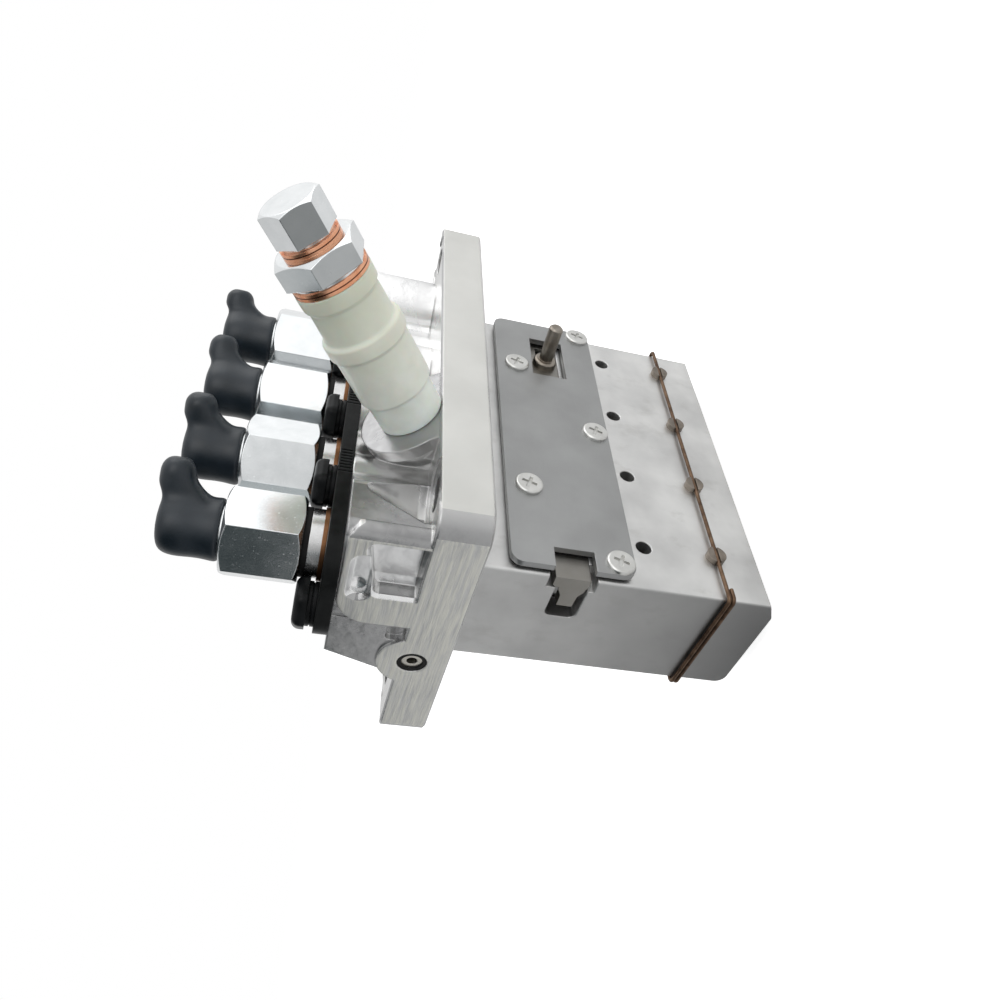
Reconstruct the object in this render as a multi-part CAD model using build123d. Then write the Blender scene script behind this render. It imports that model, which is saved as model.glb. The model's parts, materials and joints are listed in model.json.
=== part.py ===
from build123d import *
import os
from math import asin, cos, radians

# In-line diesel injection pump, millimetres, +Z up.
# The origin is on the flange's lower face, at the middle of the row of four
# pumping elements. X runs along the row, -X is the front end, and the cover
# plate with the control rack behind it is on the -Y side.

# Row of pumping elements
cylinders = 4
pitch = 25.0
row = [(i - (cylinders - 1) / 2) * pitch for i in range(cylinders)]

# Fits
running_gap = 0.05
seat_gap = 0.03
loose_gap = 0.25

# Lower body of the housing
body_front_margin = 13.0
body_rear_margin = 10.6
cover_face = -14.4
back_face = 17.3
body_bottom = -72.0
body_bevel_width = 5.0
body_bevel_height = 2.6
body_back_radius = 3.0
body_front = row[0] - body_front_margin
body_rear = row[-1] + body_rear_margin

# Mounting flange
flange_thickness = 12.2
flange_front_step = 2.0
flange_edge_step = 13.2
flange_back_step = 4.7
flange_rear_reach = 37.7
flange_rear_slant = 6.0
flange_rear_slant_length = 18.0
flange_corner_radius = 6.5
flange_chamfer = 0.5
ear_reach = 32.3
ear_width = 26.0
ear_tip_radius = 5.2
stud_hole_radius = 4.25
stud_hole_edge = 6.3
stud_hole_rear = 9.7
ear_hole_from_end = 11.0
back_hole_rear = 17.2
spot_face_radius = 7.85
spot_face_depth = 0.4
flange_front = body_front - flange_front_step
flange_edge = cover_face - flange_edge_step
flange_rear = row[-1] + flange_rear_reach
flange_back = back_face + flange_back_step
ear_end = flange_back + ear_reach

# Head of the housing, from the flange up to the deck
deck = 29.8
head_back = 15.0
head_rear = row[-1] + 15.5
barrel_wall_radius = 11.0
column_radius = 8.5
rear_column_radius = 9.0
rear_column_y = -10.5
scallop_radius = 9.2
scallop_tip_radius = 1.2
scallop_seat = 14.2
scallop_top = 26.5
front_rim = flange_edge + 6.1
front_pad_back = 7.6
cast_recess = 0.9
cast_front_top_y = 20.6
cast_front_low_y = 26.4
web_y = front_rim + 1.2
pocket_low = front_rim + 3.4
pocket_high = -2.3
pocket_depth = 5.0
pocket_top_low_side = 24.6
pocket_top_high_side = 21.6
pocket_corner = 1.6
pocket_lip = 0.8
notch_y = 11.2
notch_width = 5.6
notch_top = 16.6
notch_depth = 2.6
notch_corner = 1.4
dimple_y = -4.6
dimple_z = 25.4
dimple_radius = 1.9
dimple_depth = 0.9
cup_y = -7.4
cup_z = 25.0
cup_length = 15.0
cup_width = 5.8
cup_depth = 1.3
cup_taper = 40
plan_radius = 2.2
web_corner = 3.2
rim_top_step = 0.5
rim_back_corner = 7.7
rim_front_corner = 3.2
rim_depth = 4.0

# Barrels
barrel_radius = 7.5
barrel_foot = -3.0
stem_radius = 4.75
stem_end = -21.5
neck_radius = 8.0
neck_top = 37.0
barrel_flange_radius = 10.0
barrel_flange_thickness = 1.4
barrel_bore_floor = 18.3
holder_thread_radius = 6.3
plunger_radius = 2.75
plunger_bore_gap = 0.04
port_height = 8.5
port_radius = 1.25
gallery_radius = 3.0
gallery_ring_radius = 9.3
gallery_ring_height = 7.0

# Clamping of the barrels on the deck
plate_thickness = 3.4
plate_front = 18.6
plate_half_width = 15.0
plate_seam = 0.3
plate_seam_shift = -3.0
plate_corner = 9.0
plate_marks = 7
ring_thickness = 1.0
ring_radius = 8.5
nut_width = 11.4
nut_height = 3.0
nut_corner = 2.0
nut_dome = 1.9
washer_stack = 2.0
washer_stack_radius = 5.1
washer_stack_groove = 0.3
stud_radius = 2.1
stud_depth = 12.0
inner_nut_offset = -6.7
end_nut_offset = 6.9
end_nut_reach = 12.0

# Delivery valve holders and what is inside them
hex_width = 19.0
hex_start = 38.3
hex_length = 17.2
hex_turns = (-5.5, 12.7, 31.3, 24.5)
union_radius = 6.0
union_length = 12.9
union_bore = 1.25
spring_bore = 4.4
spring_bore_top = 46.0
valve_seat_height = 7.0
valve_gasket_thickness = 1.2
valve_stem_radius = 2.15
valve_head_radius = 3.6
valve_head_height = 2.6
valve_boss_radius = 1.8
valve_boss_height = 2.0
valve_lift = 2.0
valve_spring_radius = 3.0
valve_spring_wire = 0.5
valve_spring_turns = 6
seal_thickness = hex_start - neck_top

# Transport caps on the unions
cap_radius = 7.2
cap_start = 56.1
cap_top = 71.0
cap_corner = 3.5
cap_nib_radius = 3.5
cap_nib_reach = 10.2
cap_nib_drop = 0.8
cap_nib_turns = (-55.0, -62.0, -50.0, -48.0)

# Plungers, tappets and their springs
chamber_radius = 7.2
chamber_top = -17.0
tappet_bore = 8.0
chamber_floor = -36.0
lift = 7.0
upper_seat_thickness = 2.0
upper_seat_bore = 4.2
tappet_top = -47.0
tappet_bottom = -73.5
tappet_floor = -58.0
tappet_cup_radius = 6.75
lower_seat_height = 3.0
lower_seat_radius = 6.5
lower_seat_bore = 3.0
foot_thickness = 1.4
foot_radius = 3.6
plunger_top = 6.5
vane_low = -33.0
vane_height = 2.5
vane_thickness = 2.4
vane_length = 11.6
helix_depth = 0.8
roller_axis = -69.5
roller_radius = 6.5
roller_width = 8.0
roller_pin_radius = 2.5
plunger_spring_radius = 5.3
plunger_spring_wire = 0.9
plunger_spring_turns = 4.5

# Control rack, sleeves and cover
rack_top = -16.7
rack_bottom = -25.0
rack_thickness = 3.25
rack_travel = 5.0
rack_rear = row[-1] + 3.4
rack_corner = 0.7
tongue_length = 2.6
tongue_depth = 6.1
tongue_width = 6.2
tongue_neck = 4.0
tongue_tip = 3.7
tongue_drop = 0.6
arm_reach = 12.7
arm_end = 1.9
ball_radius = 1.5
arm_thickness = 3.2
arm_width = 3.0
sleeve_radius = 6.5
rack_slot_gap = 0.2
arm_window = 8.5
arm_window_floor = -4.9
tongue_slot_floor = -0.9
tongue_slot_width = 7.6
tongue_slot_corner = 1.8
rack_mid = (rack_top + rack_bottom) / 2
rack_pin_x = row[-1] - 6.2
rack_pin_radius = 2.0
rack_pin_length = 13.0
rack_pin_seat_radius = 3.4
plate_cover_thickness = 1.6
gasket_thickness = 0.8
gasket_inset = 0.4
cover_front = body_front + 1.0
cover_top = -6.0
cover_bottom = -35.3
cover_corner = 3.0
window_half_length = 8.8
window_half_height = 4.9
window_shift = -0.45
notch_length = 5.7
notch_half_height = 4.8
cover_screw_head = 3.5
cover_screw_head_height = 1.0
cover_screw_radius = 1.5
cover_screw_length = 8.0
screw_row_high = -11.6
screw_row_low = -31.6
screw_low_front = 4.4

# Inspection holes, guide pins and the wire that holds them
inspection_height = -39.7
inspection_radius = 2.0
guide_height = -58.1
guide_radius = 2.0
guide_head_radius = 2.4
guide_head_height = 1.6
guide_tip = 6.95
wire_radius = 0.5
wire_stand_off = 0.9
wire_bend = 1.3

# Inclined fuel inlet
inlet_x = row[1]
inlet_y = -22.5
inlet_z = 18.3
inlet_tilt = 54.5
pad_radius = 13.2
pad_thickness = 3.0
pad_taper = 5.0
pad_neck_radius = 10.5
pad_skirt = 12.3
pad_skirt_top = 17.0
inlet_thread = 6.0
inlet_thread_depth = 13.0
feed_radius = 3.0
feed_depth = 18.0
sleeve_bore = 6.6
sleeve_base = (8.0, 8.3)
sleeve_mid = (8.8, 13.9)
sleeve_collar = (9.4, 4.0)
sleeve_neck = (8.1, 8.1)
sleeve_rim = (8.8, 4.2)
washer_radius = 8.7
washer_thickness = 0.85
bolt_hex = 17.0
bolt_turn = 3.0
bolt_hex_height = 5.6
bolt_face_radius = 8.4
bolt_face_height = 0.7
bleed_hex = 12.0
bleed_turn = 52.5
bleed_hex_height = 8.2
bleed_thread = 4.0
bleed_washer_radius = 6.6
bleed_washer_thickness = 1.5

# Threaded bush in the front of the flange
ear_hole_y = back_face + 3.6
ear_hole_z = 8.8
ear_hole_radius = 3.7
ear_hole_depth = 13.0
ear_boss_radius = 8.6
bush_radius = 2.6
bush_bore = 1.3


def block(x0, x1, y0, y1, z0, z1):
    """A box between two corners."""
    middle = Pos((x0 + x1) / 2, (y0 + y1) / 2, (z0 + z1) / 2)
    return middle * Box(x1 - x0, y1 - y0, z1 - z0)


def rod(radius, z0, z1, x=0.0, y=0.0):
    """A cylinder along Z."""
    return Pos(x, y, (z0 + z1) / 2) * Cylinder(radius, z1 - z0)


def rod_x(radius, x0, x1, y, z):
    """A cylinder along X."""
    return Pos((x0 + x1) / 2, y, z) * Rot(0, 90, 0) * Cylinder(radius, x1 - x0)


def rod_y(radius, y0, y1, x, z):
    """A cylinder along Y."""
    return Pos(x, (y0 + y1) / 2, z) * Rot(90, 0, 0) * Cylinder(radius, y1 - y0)


def ring(outer, inner, z0, z1, x=0.0, y=0.0):
    """A tube along Z."""
    return rod(outer, z0, z1, x, y) - rod(inner, z0 - 1, z1 + 1, x, y)


def torus(major, minor, z, x=0.0, y=0.0):
    """A round sealing ring lying flat."""
    return Pos(x, y, z) * Torus(major, minor)


def hexagon(width, z0, z1, turn=0.0, both_ends=True):
    """A hexagon along Z whose corners are turned away at its ends."""
    corner = width / 2 / cos(radians(30))
    prism = Pos(0, 0, z0) * Rot(0, 0, turn) * extrude(RegularPolygon(corner, 6), z1 - z0)
    drop = (corner - width / 2 * 0.97) * 0.58
    low = width / 2 * 0.97 if both_ends else corner
    low_rise = drop if both_ends else 0.01
    outline = Polyline(
        (0, z0), (low, z0), (corner, z0 + low_rise), (corner, z1 - drop),
        (width / 2 * 0.97, z1), (0, z1), close=True)
    return prism & revolve(make_face(Plane.XZ * outline), Axis.Z)


def spring(radius, wire, turns, z0, z1, x):
    """A coil spring between two seats, a hair clear of both."""
    low = z0 + wire + seat_gap
    high = z1 - wire - seat_gap
    path = Helix(pitch=(high - low) / turns, height=high - low, radius=radius, center=(x, 0, low))
    return sweep(Plane(origin=path @ 0, z_dir=path % 0) * Circle(wire), path=path)


def together(pieces):
    """Separate solids that share one node."""
    return Compound(children=[solid for piece in pieces for solid in piece.solids()])


def nut_places():
    """Where the clamp nuts stand: one between neighbours and one at each end."""
    inner = [(x + pitch / 2, inner_nut_offset) for x in row[:-1]]
    front = (row[0] - end_nut_reach, end_nut_offset)
    rear = (row[-1] + end_nut_reach, end_nut_offset)
    return [front] + inner + [rear]


def screw_places():
    """Cover screws: three along the lower edge and two along the upper one."""
    low = [body_front + screw_low_front, 0.0, body_rear - 3.0]
    high = [row[1] - pitch / 2 + 0.4, row[2] + pitch / 2 + 0.5]
    return [(x, screw_row_low) for x in low] + [(x, screw_row_high) for x in high]


def flange_holes():
    """Stud holes: two on the cover side, one in the ear, one at the rear."""
    edge = flange_edge + stud_hole_edge
    return [(row[0], edge), (flange_rear - stud_hole_rear, edge),
            (flange_front + ear_width / 2, ear_end - ear_hole_from_end),
            (flange_rear - back_hole_rear, head_back)]


def inlet_place():
    """The frame of the inlet: its Z is the inlet's axis, zero on the pad."""
    return Pos(inlet_x, inlet_y, inlet_z) * Rot(inlet_tilt, 0, 0)


def flange():
    """The mounting flange with its ear and rounded corners."""
    rear_x = flange_rear - flange_rear_slant
    outline = Polyline(
        (flange_front, flange_edge), (flange_rear, flange_edge),
        (rear_x, flange_edge + flange_rear_slant_length),
        (rear_x, flange_back), (flange_front + ear_width, flange_back),
        (flange_front + ear_width, ear_end), (flange_front, ear_end), close=True)
    face = make_face(outline)
    round_ones = [v for v in face.vertices() if abs(v.X - flange_rear) > 1]
    face = fillet(round_ones, flange_corner_radius)
    solid = extrude(face, flange_thickness)
    rim = solid.edges().filter_by(Axis.Z, reverse=True)
    solid = chamfer(rim, flange_chamfer)
    rear = flange_front + ear_width + 1
    tip = block(flange_front - 1, rear, ear_end - 2 * ear_tip_radius, ear_end, 0, flange_thickness)
    tip = fillet(tip.edges().filter_by(Axis.X).group_by(Axis.Y)[-1], ear_tip_radius)
    end = block(flange_front - 1, rear, ear_end - ear_tip_radius, ear_end + 1, -1, flange_thickness + 1)
    return solid - (end - tip)


def head_outline():
    """The plan of the cast head: barrel walls, stud columns and webs, with cast corners."""
    half = (row[-1] - row[0]) / 2
    core = Pos((head_rear + row[0]) / 2, 1) * Rectangle(head_rear - row[0], 16)
    plan = core + Pos(0, head_back / 2) * Rectangle(2 * half, head_back)
    for x in row:
        plan += Pos(x, 0) * Circle(barrel_wall_radius)
        plan += Pos(x, head_back - column_radius + 5) * Circle(column_radius)
    for x, y in nut_places()[1:-1]:
        plan += Pos(x, y) * Circle(column_radius)
    plan += Pos(head_rear - column_radius, end_nut_offset) * Circle(column_radius)
    plan += Pos(head_rear, rear_column_y) * Circle(rear_column_radius)
    front = flange_front + cast_recess
    web = Polyline(
        (front, front_rim), (row[0] + 1.5, web_y), (row[0] + 10, cover_face), (row[0] + 10, 0),
        (row[0], head_back), (front + 6, cast_front_top_y), (front, cast_front_top_y), close=True)
    web = make_face(web)
    corner = [v for v in web.vertices() if v.X < front + 0.01 and v.Y < web_y]
    plan += fillet(corner, web_corner)
    plan = offset(plan, plan_radius, kind=Kind.ARC)
    return offset(plan, -plan_radius, kind=Kind.ARC)


def front_slab(points, depth, recess=0.0):
    """A slab behind the flange's front plane with that outline in Y and Z."""
    face = make_face(Plane.YZ.offset(flange_front + recess) * Polyline(*points, close=True))
    return extrude(face, depth, dir=(1, 0, 0))


def milled_rim():
    """The milled rim on the front of the head, with its rounded corners."""
    top = deck - rim_top_step
    slab = front_slab([
        (front_rim, flange_thickness - 1), (front_pad_back, flange_thickness - 1),
        (front_pad_back, top), (front_rim, top)], rim_depth)
    low_side, high_side = slab.edges().filter_by(Axis.X).group_by(Axis.Z)[-1].sort_by(Axis.Y)
    slab = fillet(high_side, rim_back_corner)
    low_side = slab.edges().filter_by(Axis.X).group_by(Axis.Z)[-1].sort_by(Axis.Y)[0]
    slab = fillet(low_side, rim_front_corner)
    plan = make_face(Polyline(
        (flange_front, front_rim), (flange_front + rim_depth, front_rim),
        (flange_front + rim_depth, front_pad_back), (flange_front, front_pad_back), close=True))
    corner = [v for v in plan.vertices() if v.X < flange_front + 0.01 and v.Y < front_rim + 0.01]
    return slab & extrude(fillet(corner, web_corner), deck)


def cast_front():
    """The casting behind the rim, leaning out towards the ear."""
    return front_slab([
        (front_pad_back - 4, flange_thickness - 1), (cast_front_low_y, flange_thickness - 1),
        (cast_front_low_y, flange_thickness + 2.5), (cast_front_top_y, deck),
        (front_pad_back - 4, deck)], 7.0, cast_recess)


def front_pocket():
    """The cast pocket in the front of the head, with its sloping top and flared mouth."""
    face = make_face(Polyline(
        (pocket_low, flange_thickness), (pocket_high, flange_thickness),
        (pocket_high, pocket_top_high_side), (pocket_low, pocket_top_low_side), close=True))
    face = fillet(face.vertices().sort_by(Axis.Y)[-2:], pocket_corner)
    pocket = extrude(Plane.YZ.offset(flange_front - 1) * face, pocket_depth + 1)
    pocket -= rod(barrel_wall_radius, 0, deck, row[0])
    mouth = Plane.YZ.offset(flange_front) * offset(face, pocket_lip)
    return pocket + extrude(mouth, pocket_lip, taper=45)


def front_cup():
    """The shallow cast cup between the pocket and the deck, with a dimple in its floor."""
    mouth = Plane.YZ.offset(flange_front) * Pos(cup_y, cup_z) * SlotOverall(cup_length, cup_width)
    cup = extrude(mouth, cup_depth, taper=cup_taper)
    dimple = Cone(dimple_radius, dimple_radius / 4, dimple_depth)
    floor = flange_front + cup_depth
    return cup + Pos(floor + dimple_depth / 2 - 0.05, dimple_y, dimple_z) * Rot(0, 90, 0) * dimple


def front_notch():
    """The small cast notch between the rim and the boss of the front hole."""
    notch = front_slab([
        (notch_y - notch_width / 2, flange_thickness), (notch_y + notch_width / 2, flange_thickness),
        (notch_y + notch_width / 2, notch_top), (notch_y - notch_width / 2, notch_top)],
        notch_depth + 1, -1)
    return fillet(notch.edges().filter_by(Axis.X), notch_corner)


def scallop():
    """The round seat and the cone above it that clear the front stud's nut."""
    x, y = flange_holes()[0]
    cone = Cone(scallop_radius, scallop_tip_radius, scallop_top - scallop_seat)
    cone = Pos(x, y, (scallop_top + scallop_seat) / 2) * cone
    return cone + rod(scallop_radius, flange_thickness, scallop_seat, x, y)


def head():
    """The cast head that stands on the flange."""
    solid = Pos(0, 0, flange_thickness - 1) * extrude(head_outline(), deck - flange_thickness + 1)
    solid += [milled_rim(), cast_front()]
    solid -= inlet_place() * rod(sleeve_base[0] + 1.5, 0, 30)
    return solid - front_cup() - front_pocket() - scallop() - front_notch()


def inlet_boss():
    """The inclined boss for the inlet, cut flush with the flange edge and the deck."""
    pad = rod(pad_radius, -pad_thickness, 0)
    neck = Pos(0, 0, -pad_thickness - pad_taper / 2) * Cone(pad_neck_radius, pad_radius, pad_taper)
    boss = inlet_place() * (pad + neck + rod(pad_neck_radius, -24, -pad_thickness))
    skirt = block(inlet_x - pad_skirt, inlet_x + pad_skirt, flange_edge, flange_edge + 8,
                  flange_thickness - 1, pad_skirt_top)
    boss += skirt & inlet_place() * block(-40, 40, -40, 40, -40, 0)
    room = block(inlet_x - 30, inlet_x + 30, flange_edge, head_back, flange_thickness / 2, deck)
    return boss & room


def ear_boss():
    """The boss around the threaded hole in the flange's front face."""
    boss = rod_x(ear_boss_radius, flange_front, flange_front + 14, ear_hole_y, ear_hole_z)
    keep = block(flange_front, flange_front + 14, ear_hole_y - 20, ear_hole_y + 20, 0.6, 30)
    return boss & keep


def lower_body():
    """The block below the flange that reaches into the engine."""
    outline = Polyline(
        (cover_face, 1), (cover_face, body_bottom + body_bevel_height),
        (cover_face + body_bevel_width, body_bottom), (back_face, body_bottom),
        (back_face, 1), close=True)
    section = make_face(Plane.YZ.offset(body_front) * outline)
    solid = extrude(section, body_rear - body_front, dir=(1, 0, 0))
    back_edge = solid.edges().filter_by(Axis.X).sort_by(lambda e: e.center().Z - e.center().Y)[0]
    solid = fillet(back_edge, body_back_radius)
    corners = solid.edges().filter_by(Axis.Z)
    return fillet(corners, 0.8)


def barrel_bores():
    """What each barrel, sleeve, spring and tappet needs out of the housing."""
    cuts = []
    for x in row:
        cuts.append(rod(barrel_radius + seat_gap, barrel_foot - seat_gap, deck + 2, x))
        cuts.append(rod(stem_radius + running_gap, chamber_top - 1, barrel_foot + 1, x))
        cuts.append(rod(chamber_radius, chamber_floor - 1, chamber_top, x))
        cuts.append(rod(tappet_bore, body_bottom - 2, chamber_floor, x))
        ring_low = port_height - gallery_ring_height / 2
        cuts.append(rod(gallery_ring_radius, ring_low, ring_low + gallery_ring_height, x))
    cuts.append(rod_x(gallery_radius, row[0], row[-1], 0, port_height))
    return cuts


def rack_cuts():
    """The channel for the rack, the arm windows and the notch in the front wall."""
    floor = cover_face + rack_thickness + 2 * running_gap
    high = rack_top + running_gap
    low = rack_bottom - running_gap
    channel_end = rack_rear + rack_travel + loose_gap * 2
    cuts = [block(body_front + 4, channel_end, cover_face - 1, floor, low, high)]
    for x in row:
        cuts.append(block(x - arm_window, x + arm_window, cover_face, arm_window_floor, low, high))
    cuts.append(block(body_front - 1, body_front + 5, cover_face - 1, floor + 0.3,
                      low - 1.6, high + 1.3))
    mid = rack_mid - tongue_drop
    slot = block(body_front - 1, row[0], floor, tongue_slot_floor,
                 mid - tongue_slot_width / 2, mid + tongue_slot_width / 2)
    cuts.append(fillet(slot.edges().filter_by(Axis.X).group_by(Axis.Y)[-1], tongue_slot_corner))
    return cuts


def side_holes():
    """Inspection holes, guide pin holes and cover screw holes, all along Y."""
    cuts = []
    for x in row:
        cuts.append(rod_y(inspection_radius, cover_face - 1, -tappet_bore / 2, x, inspection_height))
        cuts.append(rod_y(guide_radius + seat_gap, cover_face - 1, -tappet_bore / 2, x, guide_height))
    tip = cover_outer() + cover_screw_length
    for x, z in screw_places():
        cuts.append(rod_y(cover_screw_radius + seat_gap, cover_face - 1, tip + 1, x, z))
    return cuts


def housing():
    """The aluminium casting, machined."""
    solid = flange() + head() + inlet_boss() + ear_boss() + lower_body()
    cuts = barrel_bores() + rack_cuts() + side_holes()
    for x, y in flange_holes():
        cuts.append(rod(stud_hole_radius, -1, flange_thickness + 1, x, y))
        cuts.append(rod(spot_face_radius, flange_thickness - spot_face_depth,
                        flange_thickness + 1.2, x, y))
    for x, y in nut_places():
        cuts.append(rod(stud_radius + seat_gap, deck - stud_depth - 1, deck + 1, x, y))
    cuts.append(inlet_place() * rod(sleeve_base[0] + loose_gap, 0, sleeve_base[1]))
    cuts.append(inlet_place() * rod(inlet_thread + seat_gap, -inlet_thread_depth, 1))
    cuts.append(inlet_place() * rod(feed_radius, -feed_depth, 0))
    cuts.append(rod_x(ear_hole_radius, flange_front - 1, flange_front + ear_hole_depth,
                      ear_hole_y, ear_hole_z))
    return solid - cuts


def cover_outline(inset, y0, y1):
    """The cover's outline as a slab, with its window, its front notch and its screw holes."""
    slab = block(cover_front + inset, body_rear - inset, y0, y1,
                 cover_bottom + inset, cover_top - inset)
    slab = fillet(slab.edges().filter_by(Axis.Y), cover_corner - inset)
    middle = rack_mid + window_shift
    slab -= block(rack_pin_x - window_half_length - inset, rack_pin_x + window_half_length + inset,
                  y0 - 1, y1 + 1,
                  middle - window_half_height - inset, middle + window_half_height + inset)
    slab -= block(cover_front - 1, cover_front + notch_length + inset, y0 - 1, y1 + 1,
                  rack_mid - notch_half_height - inset, rack_mid + notch_half_height + inset)
    for x, z in screw_places():
        slab -= rod_y(cover_screw_radius + 0.2, y0 - 1, y1 + 1, x, z)
    return slab


def cover_outer():
    """Where the cover plate's outer face lies along Y."""
    return cover_face - gasket_thickness - plate_cover_thickness


def cover_plate():
    """The plate over the rack."""
    return cover_outline(0, cover_outer(), cover_face - gasket_thickness)


def cover_screws():
    """Low pan-head screws with a cross recess."""
    outer = cover_outer()
    top = outer - cover_screw_head_height
    pieces = []
    for x, z in screw_places():
        head_part = rod_y(cover_screw_head, top, outer, x, z)
        head_part = fillet(head_part.edges().sort_by(Axis.Y)[0], 0.6)
        screw = head_part + rod_y(cover_screw_radius, outer, outer + cover_screw_length, x, z)
        for turn in (20, 110):
            bar = Pos(x, top, z) * Rot(0, turn, 0) * Box(3.8, 1.5, 0.85)
            screw -= bar
        pieces.append(screw)
    return together(pieces)


def control_rack():
    """The rack bar with its slots for the sleeve arms and the tongue at its front."""
    outer = cover_face + running_gap
    inner = outer + rack_thickness
    bar = block(body_front, rack_rear, outer, inner, rack_bottom, rack_top)
    bar = chamfer(bar.edges().filter_by(Axis.X).group_by(Axis.Y)[-1], rack_corner)
    mid = rack_mid - tongue_drop
    side = [(inner - 0.5, tongue_width / 2), (inner + 0.6, tongue_width / 2),
            (inner + 2.6, tongue_neck / 2), (inner + tongue_depth, tongue_tip / 2)]
    outline = Polyline([(y, mid - z) for y, z in side]
                       + [(y, mid + z) for y, z in reversed(side)], close=True)
    tongue = extrude(make_face(Plane.YZ.offset(body_front) * outline), tongue_length, dir=(1, 0, 0))
    solid = bar + tongue
    half = ball_radius + rack_slot_gap
    for x in row:
        solid -= block(x - half, x + half, outer - 1, inner + 1, rack_mid - 2.1, rack_mid + 2.1)
    solid -= rod_y(rack_pin_radius + seat_gap, outer - 1, inner + 1, rack_pin_x, rack_mid)
    return solid


def rack_pin():
    """The pin that the governor moves the rack by, with its collar."""
    outer = cover_face + running_gap
    pin = rod_y(rack_pin_radius, outer - rack_pin_length, outer + rack_thickness,
                rack_pin_x, rack_mid)
    pin = chamfer(pin.edges().sort_by(Axis.Y)[0], 0.5)
    collar = rod_y(rack_pin_seat_radius, outer - 2.2, outer, rack_pin_x, rack_mid)
    collar = fillet(collar.edges().sort_by(Axis.Y)[0], 0.9)
    return pin + collar


def control_sleeve(x):
    """The sleeve that turns the plunger, with its ball arm and two vane slots."""
    top = chamber_top - 0.2
    bottom = chamber_floor + 0.1
    solid = rod(sleeve_radius, bottom, top) - rod(stem_radius + 0.06, bottom - 1, top + 1)
    arm = block(-arm_width / 2, arm_width / 2, -arm_reach + arm_end, -stem_radius - 0.5,
                rack_mid - arm_thickness / 2, rack_mid + arm_thickness / 2)
    neck = rod_y(ball_radius * 0.55, -arm_reach, -arm_reach + 2.2, 0, rack_mid)
    solid += [arm, neck, Pos(0, -arm_reach, rack_mid) * Sphere(ball_radius)]
    slot = vane_thickness + 2 * rack_slot_gap
    solid -= block(-sleeve_radius - 1, sleeve_radius + 1, -slot / 2, slot / 2,
                   bottom - 1, stem_end - 0.4)
    return Pos(x, 0, 0) * solid


def barrels():
    """The hardened barrels: flange and neck above the deck, stem below."""
    pieces = []
    for x in row:
        piece = rod(barrel_radius, barrel_foot, deck + 1, x)
        piece += rod(stem_radius, stem_end, barrel_foot, x)
        piece += rod(barrel_flange_radius, deck, deck + barrel_flange_thickness, x)
        piece += rod(neck_radius, deck, neck_top, x)
        piece -= rod(plunger_radius + plunger_bore_gap, stem_end - 1, neck_top, x)
        piece -= rod(holder_thread_radius, barrel_bore_floor, neck_top + 1, x)
        piece -= rod_y(port_radius, -barrel_radius - 1, barrel_radius + 1, x, port_height)
        for z in (barrel_foot + 3.5, port_height + 7.5):
            piece -= ring(barrel_radius + 1, barrel_radius - 1.5, z - 0.85, z + 0.85, x)
        pieces.append(piece)
    return together(pieces)


def clamp_plates():
    """The black plates that hold the barrel flanges down, one for each barrel."""
    pieces = []
    for i, x in enumerate(row):
        front = x - plate_front if i == 0 else x - pitch / 2 + plate_seam_shift + plate_seam / 2
        last = i == cylinders - 1
        rear = x + plate_front if last else x + pitch / 2 + plate_seam_shift - plate_seam / 2
        plate = block(front, rear, -plate_half_width, plate_half_width, deck, deck + plate_thickness)
        ends = plate.edges().filter_by(Axis.Z).group_by(Axis.X)
        if i == 0:
            plate = fillet(ends[0], plate_corner)
        elif last:
            plate = fillet(ends[-1], plate_corner)
        plate -= rod(neck_radius + 0.1, deck - 1, deck + plate_thickness + 1, x)
        for seat in row[max(i - 1, 0):i + 2]:
            plate -= rod(barrel_flange_radius + 0.1, deck - 1, deck + barrel_flange_thickness, seat)
        for nut_x, nut_y in nut_places():
            plate -= rod(stud_radius + 0.4, deck - 1, deck + plate_thickness + 1, nut_x, nut_y)
        for k in range(plate_marks if i else 0):
            mark = front + 1.0 + k
            plate -= block(mark - 0.2, mark + 0.2, -plate_half_width - 1, -plate_half_width + 0.35,
                           deck + 0.4, deck + plate_thickness - 0.4)
        pieces.append(plate)
    return together(pieces)


def clamp_nuts():
    """Rounded hexagon nuts on the clamp studs, each over two washers."""
    low = deck + plate_thickness
    seat = low + washer_stack
    pieces = []
    for x, y in nut_places():
        corner = nut_width / 2 / cos(radians(30))
        outline = fillet(RegularPolygon(corner, 6).vertices(), nut_corner)
        nut = extrude(outline, nut_height)
        nut = fillet(nut.edges().group_by(Axis.Z)[-1], nut_dome)
        nut = Pos(x, y, seat) * nut
        nut += rod(washer_stack_radius, low, seat + 0.5, x, y)
        middle = low + washer_stack / 2
        nut -= ring(washer_stack_radius + 1, washer_stack_radius - washer_stack_groove,
                    middle - washer_stack_groove / 2, middle + washer_stack_groove / 2, x, y)
        nut -= rod(stud_radius + seat_gap, low - 1, seat + nut_height - 1.2, x, y)
        pieces.append(nut)
    return together(pieces)


def clamp_studs():
    """Studs from the deck into the nuts."""
    high = deck + plate_thickness + washer_stack + nut_height - 1.4
    return together([rod(stud_radius, deck - stud_depth, high, x, y) for x, y in nut_places()])


def spacer_rings():
    """Bronze rings on the plates around the barrel necks."""
    low = deck + plate_thickness
    return together([ring(ring_radius, neck_radius + 0.1, low, low + ring_thickness, x) for x in row])


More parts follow.
